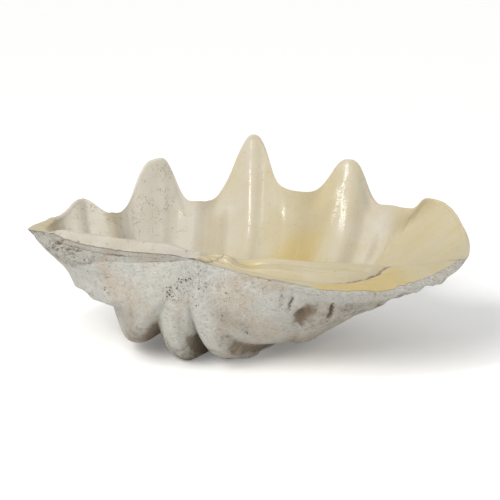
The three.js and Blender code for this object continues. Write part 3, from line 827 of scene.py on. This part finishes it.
def floor_finish(colour):
    """Matt white seamless paper card, faintly lit from beneath, so it gives the eye an even pale ground."""
    material, n = empty_material("matt_white_card")
    n("OutputMaterial", {"Surface": n("BsdfPrincipled", {
        "Base Color": linear(colour), "Roughness": 0.9, "Specular IOR Level": 0.2,
        "Emission Color": linear(colour), "Emission Strength": 0.15})})
    return material


# ---- settings ----
def shade(name, description, hexed):
    """A colour setting whose default is the sRGB hex turned linear."""
    return FloatVectorProperty(name=name, description=description, subtype="COLOR", size=3, min=0, max=1,
                               default=linear(hexed)[:3])


class ShellSizes(bpy.types.PropertyGroup):
    """Relief and mesh"""
    rib_depth: FloatProperty(name="Rib depth", description="Furrow below rib crest, mm", default=40, min=10, max=60)
    lip: FloatProperty(name="Lip", description="Wall at the back margin, mm", default=5, min=4, max=20)
    ledge_depth: FloatProperty(name="Growth ledges", description="Drop at each growth halt, mm", default=2.0, min=0)
    lump_depth: FloatProperty(name="Weathering", description="Uneven wear of the outside, mm", default=1.9, min=0)
    around: IntProperty(name="Cells round the fan", description="From one dorsal margin to the other", default=256)
    along: IntProperty(name="Cells along the fan", description="From beak to margin", default=136)
    across: IntProperty(name="Cells across the hinge", description="From outer to inner edge", default=56)


class ShellColours(bpy.types.PropertyGroup):
    """Chalk outside, porcelain inside"""
    chalk_cool: shade("Cool chalk", "Weathered outside, cool patches", "#C7C6BE")
    chalk_warm: shade("Warm chalk", "Weathered outside, warm patches", "#C6BCAD")
    chalk_light: shade("Light chalk", "Freshly rubbed outside", "#D7D6D0")
    chalk_shade: shade("Grain shade", "Shade in the grain of the chalk", "#958B7B")
    # silt colour, also used for painted shade on faces that look down, low on the middle ribs, in furrows, grooves
    # and slits
    dirt_and_shade: shade("Silt", "Old silt in furrows and clefts", "#6E5A42")
    pit: shade("Pits", "Bottoms of bored pits", "#453829")
    porcelain_white: shade("Porcelain white", "Lobes and hinge plate", "#C8C2B5")
    porcelain_ivory: shade("Porcelain ivory", "Walls of the bowl", "#BFB494")
    porcelain_straw: shade("Porcelain straw", "Deepest troughs and the shelf", "#C0AC74")


class StudioSettings(bpy.types.PropertyGroup):
    """Card, lights and camera"""
    card: shade("Card", "Seamless floor", "#FBFBFA")
    key: FloatProperty(name="Key", description="Broad soft light from front left, W per square metre", default=1.45)
    sky: FloatProperty(name="Room", description="Even light from all round", default=0.6, min=0)
    strips: FloatProperty(name="Strips", description="Narrow lights seen in gloss", default=5, min=0, unit="POWER")
    azimuth: FloatProperty(name="Azimuth", description="Camera's turn round the shell", default=math.radians(14),
                           subtype="ANGLE")
    elevation: FloatProperty(name="Elevation", description="Camera above the horizon", default=math.radians(14),
                             subtype="ANGLE")
    distance: FloatProperty(name="Distance", description="Camera to shell", default=2.3, unit="LENGTH")
    lens: FloatProperty(name="Lens", description="Focal length", default=121.4, unit="CAMERA")


# ---- operators ----
class SHELL_OT_valve(bpy.types.Operator):
    """Grows the valve as one closed skin and finishes it"""
    bl_idname = "shell.valve"
    bl_label = "Grow valve"

    def execute(self, context):
        sizes = context.scene.shell_sizes
        co, four, three, marks = valve_mesh(sizes)
        box_lo, box_hi = (np.array(p) for p in CAD_BOX)
        lo, hi = co.min(0) * MM, co.max(0) * MM
        offset = np.append((box_lo + box_hi)[:2] / 2 - (lo + hi)[:2] / 2, box_lo[2] - lo[2])
        piece = make_piece("valve", co, four, three, marks, offset)
        piece.data.materials.append(shell_finish(context.scene.shell_colours))
        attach(piece, "root")
        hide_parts("half_shell")
        return {"FINISHED"}


class SHELL_OT_studio(bpy.types.Operator):
    """Lays the card, hangs the soft lights and sets the camera"""
    bl_idname = "shell.studio"
    bl_label = "Set studio"

    def execute(self, context):
        s = context.scene.studio
        lo, hi = CAD_BOX
        centre = (lo + hi) / 2
        # one flat round card, a circle so wide that its edge is never seen
        turn = np.linspace(0, 2 * np.pi, 96, endpoint=False)
        rim = np.stack([CARD_RADIUS * np.cos(turn), CARD_RADIUS * np.sin(turn), 0 * turn + lo.z], -1)
        me = bpy.data.meshes.new("card")
        me.from_pydata(rim.tolist(), [], [list(range(len(rim)))])
        me.materials.append(floor_finish(s.card))
        card = bpy.data.objects.new("card", me)
        context.scene.collection.objects.link(card)

        # name, kind, place, the sun's angle or the width and height, strength, tint
        for name, kind, at, size, power, tint in (
                ("key", "SUN", (-1.0, -2.2, 2.0), math.radians(30), s.key, (1, 0.985, 0.965)),
                ("strip_front", "AREA", (-0.6, -1.02, 1.6), (0.24, 0.85), s.strips * 2.0, (1, 1, 1)),
                ("strip_left", "AREA", (-1.55, -0.05, 1.08), (0.11, 0.2), s.strips * 0.1, (1, 1, 1))):
            light = bpy.data.lights.new(name, kind)
            if kind == "SUN":
                light.angle = size
            else:
                light.shape, light.size, light.size_y = "RECTANGLE", *size
            light.energy, light.color = power, tint
            lamp = bpy.data.objects.new(name, light)
            lamp.visible_glossy = kind == "AREA"
            lamp.location = Vector(at)
            lamp.rotation_euler = (centre - lamp.location).to_track_quat("-Z", "Y").to_euler()
            context.scene.collection.objects.link(lamp)

        world = bpy.data.worlds.new("studio")
        world.use_nodes = True
        world.node_tree.nodes["Background"].inputs["Color"].default_value = linear("#FFFFFF")
        world.node_tree.nodes["Background"].inputs["Strength"].default_value = s.sky
        context.scene.world = world
        context.scene.view_settings.view_transform = "Standard"

        a, e = s.azimuth, s.elevation
        back = Vector((math.sin(a) * math.cos(e), -math.cos(a) * math.cos(e), math.sin(e)))
        target = centre + Vector(AIM)
        camera = bpy.data.cameras.new("camera")
        camera.lens, camera.sensor_width, camera.dof.use_dof = s.lens, 36, False
        eye = bpy.data.objects.new("camera", camera)
        eye.location = target + back * s.distance
        eye.rotation_euler = (-back).to_track_quat("-Z", "Y").to_euler()
        context.scene.collection.objects.link(eye)
        context.scene.camera = eye
        return {"FINISHED"}


class SHELL_PT_panel(bpy.types.Panel):
    """Lists settings and operators"""
    bl_label = "Giant clam half shell"
    bl_space_type = "VIEW_3D"
    bl_region_type = "UI"
    bl_category = "Shell"

    def draw(self, context):
        for group in ("shell_sizes", "shell_colours", "studio"):
            settings = getattr(context.scene, group)
            stack = self.layout.column()
            for key in settings.bl_rna.properties.keys():
                if key not in ("rna_type", "name"):
                    stack.prop(settings, key)
        self.layout.operator("shell.valve")
        self.layout.operator("shell.studio")


CLASSES = (ShellSizes, ShellColours, StudioSettings, SHELL_OT_valve, SHELL_OT_studio, SHELL_PT_panel)


def register():
    for c in CLASSES:
        bpy.utils.register_class(c)
    bpy.types.Scene.shell_sizes = PointerProperty(type=ShellSizes)
    bpy.types.Scene.shell_colours = PointerProperty(type=ShellColours)
    bpy.types.Scene.studio = PointerProperty(type=StudioSettings)


def unregister():
    for key in ("shell_sizes", "shell_colours", "studio"):
        delattr(bpy.types.Scene, key)
    for c in reversed(CLASSES):
        bpy.utils.unregister_class(c)


def main():
    register()
    bpy.ops.shell.valve()
    bpy.ops.shell.studio()


if __name__ == "__main__":
    main()
